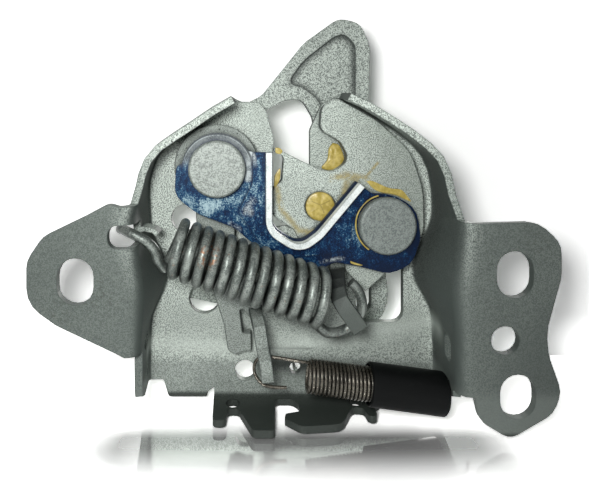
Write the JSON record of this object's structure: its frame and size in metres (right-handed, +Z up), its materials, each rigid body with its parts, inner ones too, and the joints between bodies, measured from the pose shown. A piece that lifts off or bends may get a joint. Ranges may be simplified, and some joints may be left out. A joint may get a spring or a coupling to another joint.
{
  "type": "bonnet latch",
  "caption": "Bonnet latch with a sprung claw, pawl and safety hook riveted to a folded steel plate with bolt-on ears.",
  "frame": {"origin": "centre of the latched striker bar, in the plane of the rear faces of the ears", "axes": "+X to the right and +Z up as the latch is seen from its front, +Y towards the panel that the ears are bolted to"},
  "size_m": [0.135, 0.0399, 0.1129],
  "materials": {
    "base_plate": "grainy zinc-plated sheet steel",
    "cover_bracket": "blue-passivated zinc, worn bright on the lip",
    "claw": "grainy zinc-plated steel plate",
    "pawl": "grainy zinc-plated steel plate",
    "safety_hook": "grainy zinc-plated steel plate",
    "left_rivet": "zinc-plated steel",
    "right_rivet": "zinc-plated steel",
    "hook_rivet": "zinc-plated steel",
    "left_bush": "zinc-plated steel",
    "right_bush": "zinc-plated steel",
    "hook_bush": "zinc-plated steel",
    "left_spacer": "zinc-plated steel",
    "right_spacer": "zinc-plated steel",
    "left_rear_washer": "zinc-plated steel",
    "right_rear_washer": "zinc-plated steel",
    "hook_rear_washer": "zinc-plated steel",
    "main_spring": "phosphated spring steel wire",
    "return_spring": "dark oiled spring steel wire",
    "hook_spring": "phosphated spring steel wire",
    "rubber_sleeve": "satin black rubber"
  },
  "bodies": {
    "plate": {"base_plate": "base_plate", "cover_bracket": "cover_bracket", "left_rivet": "left_rivet", "right_rivet": "right_rivet", "hook_rivet": "hook_rivet", "left_bush": "left_bush", "right_bush": "right_bush", "hook_bush": "hook_bush", "left_spacer": "left_spacer", "right_spacer": "right_spacer", "left_rear_washer": "left_rear_washer", "right_rear_washer": "right_rear_washer", "hook_rear_washer": "hook_rear_washer", "main_spring": "main_spring", "return_spring": "return_spring", "hook_spring": "hook_spring", "rubber_sleeve": "rubber_sleeve"},
    "claw": {"claw": "claw"},
    "pawl": {"pawl": "pawl"},
    "safety_hook": {"safety_hook": "safety_hook"}
  },
  "joints": [
    {"name": "claw_pivot", "type": "hinge", "parent": "plate", "child": "claw", "pos_m": [0.0258, 0, -0.0005], "axis": [0, -1, 0], "range_deg": [0, 34], "stiffness_Nm_per_rad": 1.2, "springref_deg": -28.65, "deforming": ["main_spring"]},
    {"name": "pawl_pivot", "type": "hinge", "parent": "plate", "child": "pawl", "pos_m": [-0.0213, 0, 0.0152], "axis": [0, 1, 0], "range_deg": [0, 12], "stiffness_Nm_per_rad": 0.2, "springref_deg": -22.92, "deforming": ["return_spring"]},
    {"name": "safety_hook_pivot", "type": "hinge", "parent": "plate", "child": "safety_hook", "pos_m": [-0.0007, 0, -0.02], "axis": [0, 1, 0], "range_deg": [0, 16], "stiffness_Nm_per_rad": 0.3, "springref_deg": -17.19, "deforming": ["hook_spring"]}
  ]
}
